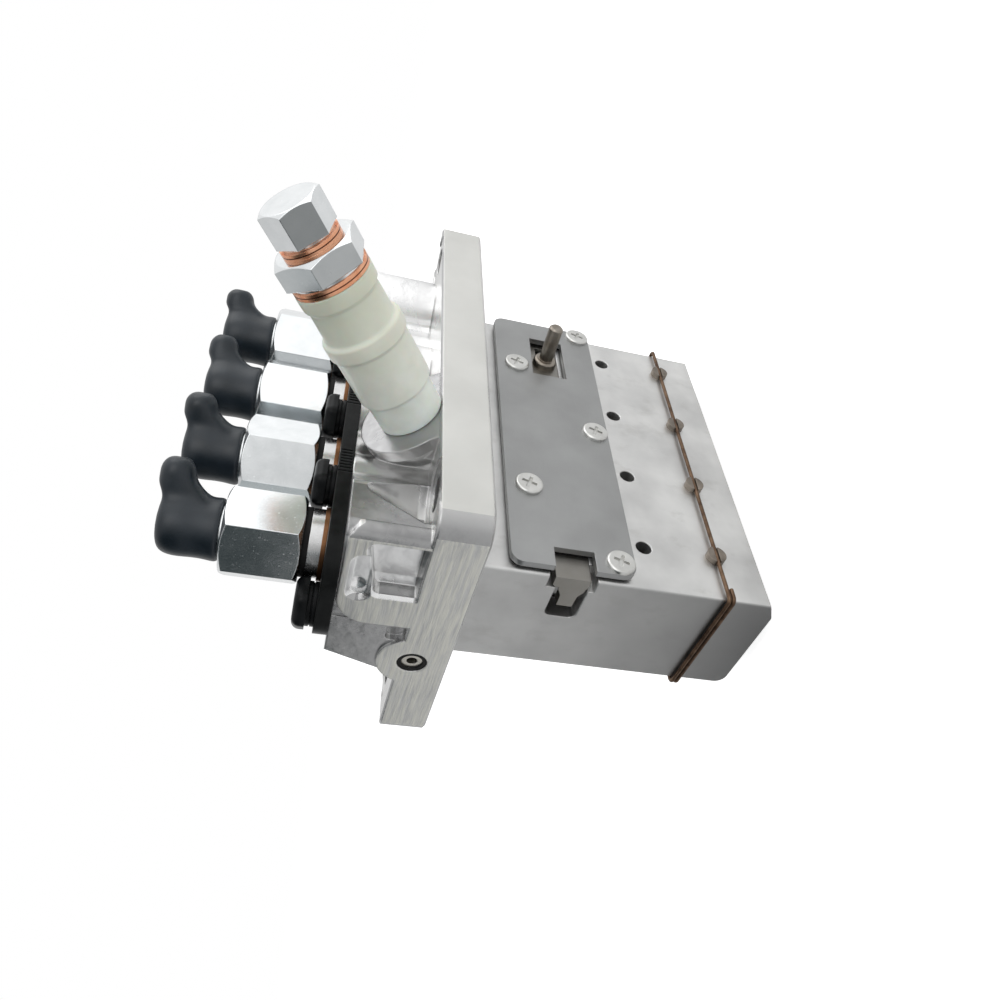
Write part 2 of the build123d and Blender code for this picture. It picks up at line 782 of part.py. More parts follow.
def seals():
    """Barrel seals, seals under the hexagons, the cover's gasket and the bush's seal."""
    groove = barrel_radius - 0.75
    pieces = []
    for x in row:
        for z in (barrel_foot + 3.5, port_height + 7.5):
            pieces.append(torus(groove, 0.74, z, x))
        seal = ring(neck_radius + 0.1, holder_thread_radius, neck_top, neck_top + seal_thickness, x)
        pieces.append(seal)
    pieces.append(cover_outline(gasket_inset, cover_face - gasket_thickness, cover_face))
    outer = rod_x(ear_hole_radius - seat_gap, flange_front + 0.2, flange_front + 2.2,
                  ear_hole_y, ear_hole_z)
    pieces.append(outer - rod_x(bush_radius, flange_front - 1, flange_front + 3,
                                ear_hole_y, ear_hole_z))
    return together(pieces)


def delivery_valve_holder(x, turn):
    """Hexagon holder: it screws into the barrel and carries the pipe union."""
    stem_low = barrel_bore_floor + valve_seat_height + valve_gasket_thickness
    hex_top = hex_start + hex_length
    union_top = hex_top + union_length
    solid = hexagon(hex_width, hex_start, hex_top, turn)
    solid += rod(holder_thread_radius - running_gap, stem_low, hex_start)
    thread = rod(union_radius, hex_top, union_top)
    solid += chamfer(thread.edges().sort_by(Axis.Z)[-1], 0.8)
    for k in range(7):
        z = hex_top + 3.4 + k * 1.5
        solid -= ring(union_radius + 1, union_radius - 0.55, z - 0.3, z + 0.3)
    solid -= rod(spring_bore, stem_low - 1, spring_bore_top)
    solid -= rod(union_bore, spring_bore_top - 1, union_top + 1)
    solid -= Pos(0, 0, union_top - 1.6) * Cone(union_bore, 3.4, 3.3)
    return Pos(x, 0, 0) * solid


def valve_seats():
    """Bodies that the delivery valves close on."""
    low = barrel_bore_floor
    pieces = []
    for x in row:
        seat = rod(holder_thread_radius - running_gap, low, low + valve_seat_height, x)
        pieces.append(seat - rod(valve_stem_radius + running_gap, low - 1, low + 9, x))
    return together(pieces)


def delivery_valve(x):
    """A fluted stem under a head that closes on its seat."""
    seat = barrel_bore_floor + valve_seat_height
    stem = rod(valve_stem_radius, seat - 5.8, seat + 0.5)
    for turn in range(0, 360, 90):
        stem -= Rot(0, 0, turn) * Pos(valve_stem_radius, 0, seat - 3.6) * Box(1.6, 1.4, 4.4)
    solid = stem + rod(valve_head_radius, seat + 0.02, seat + valve_head_height)
    top = seat + valve_head_height + valve_boss_height
    return Pos(x, 0, 0) * (solid + rod(valve_boss_radius, seat + 1, top))


def delivery_valve_spring(x):
    """The spring that shuts the delivery valve."""
    low = barrel_bore_floor + valve_seat_height + valve_head_height
    return spring(valve_spring_radius, valve_spring_wire, valve_spring_turns,
                  low, spring_bore_top, x)


def union_cap(x, turn):
    """A soft transport cap with a bent pull nib."""
    union_top = hex_start + hex_length + union_length
    body = rod(cap_radius, cap_start, cap_top)
    body = fillet(body.edges().sort_by(Axis.Z)[-1], cap_corner)
    start = (0, 0, cap_top - cap_nib_radius - 0.1)
    end = (cap_nib_reach, 0, start[2] - cap_nib_drop)
    path = Line(start, end)
    nib = sweep(Plane(origin=start, z_dir=path % 0) * Circle(cap_nib_radius), path=path)
    solid = body + nib + Pos(*end) * Sphere(cap_nib_radius)
    solid -= rod(union_radius + 0.05, cap_start - 1, union_top + 0.1)
    return Pos(x, 0, 0) * Rot(0, 0, turn) * solid


def plunger(x):
    """Plunger with its metering groove, the vane that turns it and its foot."""
    foot_low = tappet_floor + 0.02
    solid = rod(plunger_radius, foot_low, plunger_top)
    solid += rod(foot_radius, foot_low, foot_low + foot_thickness)
    solid += block(-vane_length / 2, vane_length / 2, -vane_thickness / 2, vane_thickness / 2,
                   vane_low, vane_low + vane_height)
    solid -= ring(plunger_radius + 1, plunger_radius - helix_depth,
                  plunger_top - 8, plunger_top - 5.5)
    solid -= block(plunger_radius - helix_depth, plunger_radius + 1, -0.8, 0.8,
                   plunger_top - 6, plunger_top + 1)
    return Pos(x, 0, 0) * solid


def plunger_spring(x):
    """The spring that presses the tappet down."""
    return spring(plunger_spring_radius, plunger_spring_wire, plunger_spring_turns,
                  tappet_floor + lower_seat_height, chamber_floor - upper_seat_thickness, x)


def upper_spring_seats():
    """Rings at the top of the tappet bores that the springs push against."""
    low = chamber_floor - upper_seat_thickness
    return together([ring(tappet_bore - 0.1, upper_seat_bore, low, chamber_floor, x) for x in row])


def tappet(x):
    """The tappet shell, with the lower spring seat in its cup as a second solid."""
    shell = rod(tappet_bore - running_gap, tappet_bottom, tappet_top)
    shell -= rod(tappet_cup_radius, tappet_floor, tappet_top + 1)
    side = roller_width / 2 + 0.2
    reach = roller_radius + 0.3
    shell -= block(-side, side, -reach, reach, tappet_bottom - 1, roller_axis + reach)
    shell -= rod_x(roller_pin_radius + seat_gap, -tappet_bore, tappet_bore, 0, roller_axis)
    low = guide_height - lift - guide_radius - 0.1
    high = guide_height + guide_radius + running_gap
    half = guide_radius + running_gap
    shell -= block(-half, half, -tappet_bore, -guide_tip + 0.1, low, high)
    seat = ring(lower_seat_radius, lower_seat_bore, tappet_floor, tappet_floor + lower_seat_height)
    seat -= rod(foot_radius + 0.15, tappet_floor - 1, tappet_floor + foot_thickness + 0.1)
    return together([Pos(x, 0, 0) * shell, Pos(x, 0, 0) * seat])


def tappet_pin(x):
    """The axle of the roller."""
    half = (tappet_bore - running_gap) * cos(asin(roller_pin_radius / tappet_bore)) - 0.3
    return rod_x(roller_pin_radius, x - half, x + half, 0, roller_axis)


def tappet_roller(x):
    """The roller that runs on the cam."""
    half = roller_width / 2
    roller = rod_x(roller_radius, x - half, x + half, 0, roller_axis)
    roller = chamfer(roller.edges().filter_by(GeomType.CIRCLE), 0.4)
    return roller - rod_x(roller_pin_radius + running_gap, x - half - 1, x + half + 1, 0, roller_axis)


def guide_pins():
    """Pins that keep the tappets from turning, slotted for the wire."""
    outer = cover_face - guide_head_height
    pieces = []
    for x in row:
        pin = rod_y(guide_radius, cover_face - 0.5, -guide_tip, x, guide_height)
        pin += rod_y(guide_head_radius, outer, cover_face, x, guide_height)
        half = wire_radius + running_gap
        pin -= block(x - 4, x + 4, outer - 1, outer + 2 * half, guide_height - half, guide_height + half)
        pieces.append(pin)
    return together(pieces)


def retaining_wire():
    """One wire over the four pins and round the body, doubled on the front and back."""
    front = body_front - wire_stand_off
    rear = body_rear + wire_stand_off
    back = back_face + wire_stand_off
    over = cover_face - guide_head_height + wire_radius + running_gap
    z = guide_height
    route = FilletPolyline(
        (front + 3.5, over, z - 1.15), (front, over, z - 1.12), (front, back, z - 0.7),
        (rear, back, z), (rear, over, z), (front, over, z), (front, back, z + 0.4),
        (front + 34, back, z + 0.7), radius=wire_bend)
    return sweep(Plane(origin=route @ 0, z_dir=route % 0) * Circle(wire_radius), path=route)


def sleeve_levels():
    """Heights of the steps of the inlet sleeve above the pad."""
    levels = [0.0]
    for radius, length in (sleeve_base, sleeve_mid, sleeve_collar, sleeve_neck, sleeve_rim):
        levels.append(levels[-1] + length)
    return levels


def inlet_sleeve():
    """The stepped plastic sleeve between the pad and the bolt."""
    levels = sleeve_levels()
    parts = (sleeve_base, sleeve_mid, sleeve_collar, sleeve_neck, sleeve_rim)
    solid = rod(parts[0][0], levels[0], levels[1])
    for k in range(1, len(parts)):
        solid += rod(parts[k][0], levels[k], levels[k + 1])
    return inlet_place() * (solid - rod(sleeve_bore, -1, levels[-1] + 1))


def inlet_bolt():
    """The hollow bolt through the sleeve, with a tapped hole for the bleed plug."""
    low = sleeve_levels()[-1] + 2 * washer_thickness
    top = low + bolt_face_height + bolt_hex_height
    solid = rod(bolt_face_radius, low, low + bolt_face_height + 0.2)
    solid += hexagon(bolt_hex, low + bolt_face_height, top, bolt_turn, both_ends=False)
    solid += rod(inlet_thread, -inlet_thread_depth + 1.5, low + 1)
    solid -= rod(feed_radius - 0.5, -inlet_thread_depth, top - 8)
    solid -= rod(bleed_thread + seat_gap, top - 9, top + 1)
    return inlet_place() * solid


def bolt_top():
    """Height of the hollow bolt's upper face above the pad."""
    return sleeve_levels()[-1] + 2 * washer_thickness + bolt_face_height + bolt_hex_height


def bleed_plug():
    """The small hexagon plug in the top of the hollow bolt."""
    low = bolt_top() + bleed_washer_thickness
    solid = rod(bleed_hex / 2 * 0.98, low, low + 1)
    solid += hexagon(bleed_hex, low + 0.6, low + bleed_hex_height, bleed_turn, both_ends=False)
    return inlet_place() * (solid + rod(bleed_thread, low - 7.5, low + 1))


def copper_washers():
    """Two washers under the bolt, one under the plug, and the valve gaskets."""
    base = sleeve_levels()[-1]
    pieces = []
    for k in range(2):
        low = base + k * washer_thickness
        washer = ring(washer_radius, inlet_thread + 0.3, low, low + washer_thickness)
        pieces.append(inlet_place() * washer)
    small = ring(bleed_washer_radius, bleed_thread + 0.2, bolt_top(),
                 bolt_top() + bleed_washer_thickness)
    pieces.append(inlet_place() * small)
    low = barrel_bore_floor + valve_seat_height
    for x in row:
        pieces.append(ring(holder_thread_radius - 0.1, spring_bore + 0.2,
                           low, low + valve_gasket_thickness, x))
    return together(pieces)


def ear_bushing():
    """The hollow bush in the front hole."""
    rear = flange_front + ear_hole_depth
    bush = rod_x(bush_radius - seat_gap, flange_front + 0.6, rear, ear_hole_y, ear_hole_z)
    bush += rod_x(ear_hole_radius - seat_gap, flange_front + 2.3, rear, ear_hole_y, ear_hole_z)
    return bush - rod_x(bush_bore, flange_front - 1, rear + 1, ear_hole_y, ear_hole_z)


def nodes():
    """Every node's name and shape."""
    yield "housing", housing()
    yield "cover_plate", cover_plate()
    yield "cover_screws", cover_screws()
    yield "control_rack", control_rack()
    yield "rack_pin", rack_pin()
    yield "barrels", barrels()
    yield "clamp_plates", clamp_plates()
    yield "clamp_nuts", clamp_nuts()
    yield "clamp_studs", clamp_studs()
    yield "spacer_rings", spacer_rings()
    yield "seals", seals()
    yield "valve_seats", valve_seats()
    yield "upper_spring_seats", upper_spring_seats()
    yield "guide_pins", guide_pins()
    yield "retaining_wire", retaining_wire()
    yield "inlet_sleeve", inlet_sleeve()
    yield "inlet_bolt", inlet_bolt()
    yield "bleed_plug", bleed_plug()
    yield "copper_washers", copper_washers()
    yield "ear_bushing", ear_bushing()
    for i, x in enumerate(row, start=1):
        yield f"control_sleeve_{i}", control_sleeve(x)
        yield f"delivery_valve_holder_{i}", delivery_valve_holder(x, hex_turns[i - 1])
        yield f"delivery_valve_{i}", delivery_valve(x)
        yield f"delivery_valve_spring_{i}", delivery_valve_spring(x)
        yield f"union_cap_{i}", union_cap(x, cap_nib_turns[i - 1])
        yield f"plunger_{i}", plunger(x)
        yield f"plunger_spring_{i}", plunger_spring(x)
        yield f"tappet_{i}", tappet(x)
        yield f"tappet_pin_{i}", tappet_pin(x)
        yield f"tappet_roller_{i}", tappet_roller(x)


os.makedirs("parts", exist_ok=True)
for name, shape in nodes():
    export_step(shape, f"parts/{name}.step")
    print(name, round(shape.volume, 1))
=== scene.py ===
import json
from math import cos, radians, sin

import bmesh
import bpy
from mathutils import Matrix, Vector


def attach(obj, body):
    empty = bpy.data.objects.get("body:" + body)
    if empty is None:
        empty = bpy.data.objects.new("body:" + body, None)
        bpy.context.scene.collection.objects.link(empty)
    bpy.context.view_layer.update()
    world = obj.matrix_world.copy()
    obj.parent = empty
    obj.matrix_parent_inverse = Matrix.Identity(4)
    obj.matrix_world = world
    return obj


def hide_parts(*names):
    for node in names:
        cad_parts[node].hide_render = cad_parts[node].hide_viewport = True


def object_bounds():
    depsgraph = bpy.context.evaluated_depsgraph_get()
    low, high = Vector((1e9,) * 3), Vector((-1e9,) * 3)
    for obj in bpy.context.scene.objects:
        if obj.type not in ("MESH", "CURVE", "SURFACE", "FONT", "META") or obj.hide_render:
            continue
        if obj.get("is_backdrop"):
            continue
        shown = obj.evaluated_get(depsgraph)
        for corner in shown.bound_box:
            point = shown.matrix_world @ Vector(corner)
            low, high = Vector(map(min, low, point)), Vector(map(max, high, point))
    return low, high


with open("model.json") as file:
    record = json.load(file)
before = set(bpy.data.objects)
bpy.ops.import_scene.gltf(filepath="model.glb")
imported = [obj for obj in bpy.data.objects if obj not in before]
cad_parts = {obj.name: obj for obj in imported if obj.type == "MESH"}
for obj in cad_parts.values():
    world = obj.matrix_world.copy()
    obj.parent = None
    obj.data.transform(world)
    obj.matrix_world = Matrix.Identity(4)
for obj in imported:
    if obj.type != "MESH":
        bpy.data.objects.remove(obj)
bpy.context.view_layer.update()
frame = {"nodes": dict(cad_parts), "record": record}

MM = 0.001

# Places on the part, in millimetres from its origin on the flange's mounting face. The finishes
# change at these planes, each just clear of the face that it is named after.
pitch = 25.0
element_row = [(k - 1.5) * pitch for k in range(4)]
above_flange = 12.6
front_face = -52.3
flange_side = -27.3
body_foot = -74.0

# The inlet leans from upright towards -Y by this many degrees, about its foot on the pad. The
# sleeve's ends and the washers' seams are measured along that axis from the level of the origin.
inlet_lean = 54.5
inlet_foot = (-12.5, -22.5, 18.3)
sleeve_foot = 28.9
sleeve_top = 67.3
washer_seams = (68.29, 76.19)
seam_half = 0.13


class Value:
    """A socket of a material's node tree, so that shader maths reads as maths."""

    def __init__(self, tree, socket):
        self.tree = tree
        self.socket = socket

    def _math(self, operation, *others, clamp=False):
        node = self.tree.nodes.new("ShaderNodeMath")
        node.operation = operation
        node.use_clamp = clamp
        for place, item in zip(node.inputs, others):
            if isinstance(item, Value):
                self.tree.links.new(item.socket, place)
            else:
                place.default_value = item
        return Value(self.tree, node.outputs[0])

    def __add__(self, other):
        return self._math("ADD", self, other)

    __radd__ = __add__

    def __sub__(self, other):
        return self._math("SUBTRACT", self, other)

    def __rsub__(self, other):
        return self._math("SUBTRACT", other, self)

    def __mul__(self, other):
        return self._math("MULTIPLY", self, other)

    __rmul__ = __mul__

    def __truediv__(self, other):
        return self._math("DIVIDE", self, other)

    def __gt__(self, other):
        return self._math("GREATER_THAN", self, other)

    def __lt__(self, other):
        return self._math("LESS_THAN", self, other)

    def __abs__(self):
        return self._math("ABSOLUTE", self)

    def to(self, low, high):
        """0 at low, 1 at high, held outside them."""
        return self._math("MULTIPLY", self - low, 1.0 / (high - low), clamp=True)


class Finish:
    """One material: its node tree, its shader and the coordinates of the piece."""

    def __init__(self, name, metallic=0.0, roughness=0.5, **constants):
        self.material = bpy.data.materials.new(name)
        self.material.use_nodes = True
        self.tree = self.material.node_tree
        self.shader = self.tree.nodes["Principled BSDF"]
        self.shader.inputs["Metallic"].default_value = metallic
        self.shader.inputs["Roughness"].default_value = roughness
        for key, value in constants.items():
            self.shader.inputs[key.replace("_", " ")].default_value = value
        place = self.tree.nodes.new("ShaderNodeTexCoord")
        self.place = Value(self.tree, place.outputs["Object"])
        self.facing = Value(self.tree, place.outputs["Normal"])
        self.x, self.y, self.z = self.parts(self.place)
        self.nx, self.ny, self.nz = self.parts(self.facing)

    def up_inlet(self, y, z):
        """How far a place or a direction, given by its Y and Z, runs along the inlet's axis."""
        return y * -sin(radians(inlet_lean)) + z * cos(radians(inlet_lean))

    def node(self, kind, settings=None, output=0, **inputs):
        """Any node by its type, its settings and what its sockets take, by name or as i and a number."""
        node = self.tree.nodes.new("ShaderNode" + kind)
        for key, value in (settings or {}).items():
            setattr(node, key, value)
        for key, value in inputs.items():
            numbered = key[0] == "i" and key[1:].isdigit()
            place = node.inputs[int(key[1:]) if numbered else key]
            if isinstance(value, Value):
                self.tree.links.new(value.socket, place)
            else:
                place.default_value = value
        return Value(self.tree, node.outputs[output])

    def parts(self, vector):
        """The three numbers of a vector."""
        node = self.tree.nodes.new("ShaderNodeSeparateXYZ")
        self.tree.links.new(vector.socket, node.inputs[0])
        return [Value(self.tree, socket) for socket in node.outputs]

    def stretched(self, sizes, turn=(0, 0, 0)):
        """The piece's coordinates, divided by sizes in millimetres along its axes."""
        scale = [1.0 / (size * MM) for size in sizes]
        return self.node("Mapping", Vector=self.place, Scale=scale, Rotation=turn)

    def noise(self, sizes, detail=3.0, roughness=0.5, turn=(0, 0, 0)):
        """Cloudy noise of that size in millimetres, about 0 to 1."""
        return self.node("TexNoise", None, "Fac", Vector=self.stretched(sizes, turn),
                         Scale=1.0, Detail=detail, Roughness=roughness)

    def mix(self, mask, first, second):
        """first where mask is 0 and second where it is 1, for colours."""
        first = first if isinstance(first, Value) else (*first, 1.0)
        second = second if isinstance(second, Value) else (*second, 1.0)
        return self.node("Mix", {"data_type": "RGBA"}, 2, i0=mask, i6=first, i7=second)

    def relief(self, height, strength, distance, rounding=0.0):
        """Bump from a height, over edges that look rounded by some millimetres."""
        inputs = {"Height": height, "Strength": strength, "Distance": distance * MM}
        if rounding:
            inputs["Normal"] = self.node("Bevel", {"samples": 6}, Radius=rounding * MM)
        self.set("Normal", self.node("Bump", None, 0, **inputs))

    def set(self, key, value):
        """Feeds one of the shader's sockets."""
        if isinstance(value, Value):
            self.tree.links.new(value.socket, self.shader.inputs[key])
        elif isinstance(value, tuple) and len(value) == 3:
            self.shader.inputs[key].default_value = (*value, 1.0)
        else:
            self.shader.inputs[key].default_value = value


def cast_aluminium():
    """Shot-blasted casting with milled faces, tool marks and faint stains, and painted shade and highlights.

    The masks are 1 on their own region: milled is the front face of the flange and the head, edge
    is the flange's long side, below is the lower body, and web_shade, pocket_highlight,
    column_highlight and pad_shade are places in the cast head. Painted shade darkens the forward
    faces of the lower body and of the casting, the web and the pad; painted highlights whiten the
    pocket and the column.
    """
    f = Finish("cast_aluminium", metallic=1.0, roughness=0.4)
    clouds = f.noise((16, 16, 16), 4)
    stains = f.noise((6, 6, 9), 5, 0.6)
    grain = f.noise((0.35, 0.35, 0.35), 2)
    waves = f.noise((2.2, 2.2, 2.6), 2, 0.4)
    ripples = f.noise((0.45, 12, 0.7), 3, 0.7, (0.12, 0, 0))
    brushed = f.noise((9, 9, 0.25), 3)
    forward = f.nx * -1
    sideways = f.ny * -1
    milled = (f.x < front_face * MM) * (f.z > -0.5 * MM) * (forward > 0.9)
    edge = (f.y < flange_side * MM) * (abs(f.ny) > 0.9)
    below = f.z < -0.2 * MM
    cast = (f.z > 0.3 * MM) * (1 - milled) * (1 - edge)
    head = cast * (f.z > above_flange * MM)
    base = f.mix(clouds.to(0.35, 0.68), (0.62, 0.62, 0.615), (0.80, 0.80, 0.79))
    base = f.mix(stains.to(0.55, 0.75) * below * 0.35, base, (0.42, 0.41, 0.39))
    # Painted shade: on the lower body, faces that look forward are darkened to dark grey, more towards the
    # foot.
    low = f.z.to(4 * MM, body_foot * MM)
    base = f.mix(below * forward.to(0.5, 0.95) * (0.16 + low * 0.86), base, (0.24, 0.24, 0.24))
    base = f.mix(edge, base, f.mix(clouds.to(0.3, 0.7), (0.65, 0.65, 0.625), (0.72, 0.72, 0.695)))
    # Painted shade: as-cast faces that look forward are darkened to mid grey.
    base = f.mix(cast * forward.to(0.1, 0.8) * 0.75, base, (0.36, 0.36, 0.365))
    base = f.mix(milled * ripples.to(0.35, 0.62), base, (0.88, 0.87, 0.81))
    # Painted shade: on the front of the head, upright faces turned partly towards -Y are darkened almost to
    # black.
    web_shade = head * sideways.to(0.6, 0.8) * (abs(f.nz) < 0.1) * (f.x < -37 * MM)
    base = f.mix(web_shade * (0.45 + waves * 0.4), base, (0.20, 0.20, 0.205))
    # Painted highlight: faces in the front pocket that look forward are painted nearly white.
    pocket_highlight = head * (f.y < -1 * MM) * (f.y > -19 * MM) * (f.x < -44 * MM)
    base = f.mix(pocket_highlight * forward.to(0.3, 0.6), base, (0.96, 0.96, 0.96))
    # Painted highlight: the rear column's faces that look towards -Y are painted white.
    column_highlight = head * (f.x > 15 * MM) * sideways.to(-0.2, 0.5)
    base = f.mix(column_highlight, base, (1.0, 1.0, 1.0))
    # Painted shade: faces that look along the inlet, the pad round the sleeve's foot, are darkened.
    pad_shade = f.up_inlet(f.ny, f.nz) > 0.985
    base = f.mix(pad_shade * (0.5 + clouds * 0.3), base, (0.30, 0.30, 0.31))
    f.set("Base Color", base)
    f.set("Roughness", 0.36 + clouds * 0.12 + milled * 0.12 + edge * 0.08 - cast * 0.14)
    fine = grain * 0.22 * (1 - cast * 0.6) + brushed * 0.12 * below
    f.relief(fine + milled * ripples * 1.5 + cast * waves * 1.6, 0.5, 0.12, 0.6)
    return f.material


def ground_zinc(name, colour, lighter, roughness=0.42):
    """Flat plated or ground steel with fine lines and faint clouds."""
    f = Finish(name, metallic=1.0, roughness=roughness)
    clouds = f.noise((12, 12, 12), 4)
    lines = f.noise((5, 5, 0.12), 2)
    grain = f.noise((0.25, 0.25, 0.25), 2)
    f.set("Base Color", f.mix(clouds.to(0.3, 0.7), colour, lighter))
    f.set("Roughness", roughness - 0.05 + lines * 0.08 + clouds * 0.06)
    f.relief(grain * 0.5 + lines * 0.5, 0.25, 0.05, 0.25)
    return f.material


def plated(name, colour, lighter, roughness=0.16, shaded=0.0):
    """Bright plating with faint haze and handling marks, and painted shade on faces that look to the front
    and down.
    """
    f = Finish(name, metallic=1.0, roughness=roughness)
    haze = f.noise((4, 4, 4), 4)
    specks = f.noise((0.5, 0.5, 0.5), 3, 0.7)
    # Painted shade: faces that look to the front and down are darkened towards near black, by the share
    # shaded.
    shade = (f.nx * -0.9 + f.ny * -0.2 + f.nz * -0.35).to(0.955, 0.985) * shaded
    f.set("Base Color", f.mix(shade, f.mix(haze.to(0.3, 0.7), colour, lighter), (0.05, 0.06, 0.06)))
    f.set("Roughness", roughness + haze * 0.08 + specks.to(0.62, 0.75) * 0.2)
    f.relief(specks + haze * 0.4, 0.12, 0.05, 0.3)
    return f.material


def dark_coat(name, colour, roughness):
    """Black oxide or paint, with rubbed edges and dust."""
    f = Finish(name, metallic=0.0, roughness=roughness, Specular_IOR_Level=0.14)
    clouds = f.noise((3, 3, 3), 4)
    lighter = tuple(c * 1.9 + 0.004 for c in colour)
    f.set("Base Color", f.mix(clouds.to(0.35, 0.75), colour, lighter))
    f.set("Roughness", roughness - 0.06 + clouds * 0.14)
    f.relief(clouds, 0.12, 0.08, 0.35)
    return f.material


def vinyl():
    """Soft blue-black dipped vinyl."""
    f = Finish("cap_vinyl", roughness=0.38, Specular_IOR_Level=0.5)
    clouds = f.noise((5, 5, 5), 3)
    specks = f.noise((0.5, 0.5, 0.5), 2)
    f.set("Base Color", f.mix(clouds.to(0.3, 0.7), (0.005, 0.010, 0.015), (0.011, 0.018, 0.026)))
    f.set("Roughness", 0.30 + clouds * 0.14 + specks * 0.04)
    f.relief(clouds + specks * 0.1, 0.3, 0.25)
    return f.material


def sleeve_plastic():
    """Milky, slightly green moulded plastic, greener towards the top; its paler foot is painted light against
    the shade that falls there.
    """
    f = Finish("sleeve_plastic", roughness=0.32, Subsurface_Weight=0.3, Subsurface_Scale=0.004, IOR=1.5)
    clouds = f.noise((5, 5, 5), 3)
    along = f.up_inlet(f.y, f.z).to(sleeve_foot * MM, sleeve_top * MM)
    # Painted light: the foot is painted paler to lift the shade that falls on it, while towards the top the
    # plastic turns greener.
    tint = f.mix(along, (0.95, 0.95, 0.90), (0.68, 0.70, 0.57))
    f.set("Base Color", f.mix(clouds.to(0.3, 0.7) * 0.35, tint, (0.62, 0.65, 0.54)))
    f.set("Roughness", 0.26 + clouds * 0.12)
    f.relief(clouds, 0.1, 0.2, 0.3)
    return f.material


def copper(name, colour, lighter, roughness, seams=False):
    """Copper or bronze with tarnish, and the dark seams between the inlet's doubled washers."""
    f = Finish(name, metallic=1.0, roughness=roughness)
    clouds = f.noise((2.5, 2.5, 2.5), 4)
    base = f.mix(clouds.to(0.3, 0.7), colour, lighter)
    if seams:
        along = f.up_inlet(f.y, f.z) / MM
        for at in washer_seams:
            base = f.mix(abs(along - at) < seam_half, base, (0.10, 0.035, 0.02))
    f.set("Base Color", base)
    f.set("Roughness", roughness + clouds * 0.12)
    f.relief(clouds, 0.15, 0.05, 0.2)
    return f.material


# One finish for each material slot of the part.
finishes = {
    "cast_aluminium": cast_aluminium(),
    "zinc_plate": ground_zinc("zinc_plate", (0.34, 0.344, 0.344), (0.395, 0.40, 0.40)),
    "zinc_screws": plated("zinc_screws", (0.62, 0.62, 0.60), (0.75, 0.75, 0.73), 0.25),
    "rack_steel": ground_zinc("rack_steel", (0.24, 0.23, 0.21), (0.33, 0.32, 0.30), 0.36),
    "rack_pin_steel": plated("rack_pin_steel", (0.20, 0.17, 0.14), (0.36, 0.33, 0.29), 0.3),
    "ground_steel": plated("ground_steel", (0.60, 0.60, 0.60), (0.72, 0.72, 0.72), 0.22),
    "plain_steel": ground_zinc("plain_steel", (0.30, 0.30, 0.30), (0.42, 0.42, 0.42), 0.38),
    "pin_steel": plated("pin_steel", (0.16, 0.14, 0.12), (0.32, 0.28, 0.24), 0.36),
    "bush_steel": plated("bush_steel", (0.55, 0.53, 0.48), (0.70, 0.68, 0.62), 0.28),
    "spring_steel": plated("spring_steel", (0.24, 0.24, 0.25), (0.34, 0.34, 0.35), 0.3),
    "brown_wire": copper("brown_wire", (0.075, 0.045, 0.03), (0.20, 0.13, 0.085), 0.42),
    # The last number of plated_steel is its share of painted shade on faces that look to the front and down.
    "plated_steel": plated("plated_steel", (0.76, 0.785, 0.795), (0.84, 0.86, 0.87), 0.13, 0.68),
    "black_plates": dark_coat("black_plates", (0.003, 0.0035, 0.0035), 0.3),
    "black_nuts": dark_coat("black_nuts", (0.003, 0.0035, 0.004), 0.32),
    "bronze_rings": copper("bronze_rings", (0.16, 0.075, 0.035), (0.30, 0.15, 0.075), 0.36),
    "copper": copper("copper", (0.78, 0.32, 0.17), (0.95, 0.52, 0.33), 0.22, seams=True),
    "seal_rubber": dark_coat("seal_rubber", (0.009, 0.009, 0.009), 0.5),
    "sleeve_plastic": sleeve_plastic(),
    "cap_vinyl": vinyl(),
}

# Every piece of the part gets the finish of its material slot.
slot_of = {part["node"]: part["material_slot"] for part in frame["record"]["subparts"]}
for name, piece in frame["nodes"].items():
    finish = finishes[slot_of[name]]
    if not piece.data.materials:
        piece.data.materials.append(finish)
    for place in piece.material_slots:
        place.material = finish


def finish_piece(mesh, name, body, slot, smooth_angle=35):
    """Turns a bmesh into a piece that rides on a body and takes a slot's finish."""
    data = bpy.data.meshes.new(name)
    bmesh.ops.recalc_face_normals(mesh, faces=mesh.faces)
    mesh.to_mesh(data)
    mesh.free()
    piece = bpy.data.objects.new(name, data)
    bpy.context.scene.collection.objects.link(piece)
    data.shade_smooth()
    data.set_sharp_from_angle(angle=radians(smooth_angle))
    data.materials.append(finishes[slot])
    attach(piece, body)
    return piece


def revolved(profile, turn, at):
    """A closed profile of (radius, height) corners in millimetres, spun about its axis and placed."""
    mesh = bmesh.new()
    corners = [mesh.verts.new((radius * MM, 0, height * MM)) for radius, height in profile]
    edges = [mesh.edges.new(pair) for pair in zip(corners, corners[1:] + corners[:1])]
    bmesh.ops.spin(mesh, geom=corners + edges, axis=(0, 0, 1), cent=(0, 0, 0),
                   angle=radians(360), steps=96, use_merge=True)
    bmesh.ops.remove_doubles(mesh, verts=mesh.verts, dist=1e-7)
    bmesh.ops.transform(mesh, verts=mesh.verts, matrix=Matrix.Translation(at) @ turn)
    return mesh


def rounded(points, radius, steps=4):
    """The corners of a closed profile, each cut to an arc of that radius or less."""
    result = []
    for before, here, after in zip(points[-1:] + points[:-1], points, points[1:] + points[:1]):
        here = Vector(here)
        back = Vector(before) - here
        ahead = Vector(after) - here
        reach = min(radius, back.length * 0.45, ahead.length * 0.45)
        start = here + back.normalized() * reach
        end = here + ahead.normalized() * reach
        for k in range(steps + 1):
            t = k / steps
            spot = start * (1 - t) ** 2 + here * 2 * t * (1 - t) + end * t ** 2
            result.append((spot.x, spot.y))
    return result


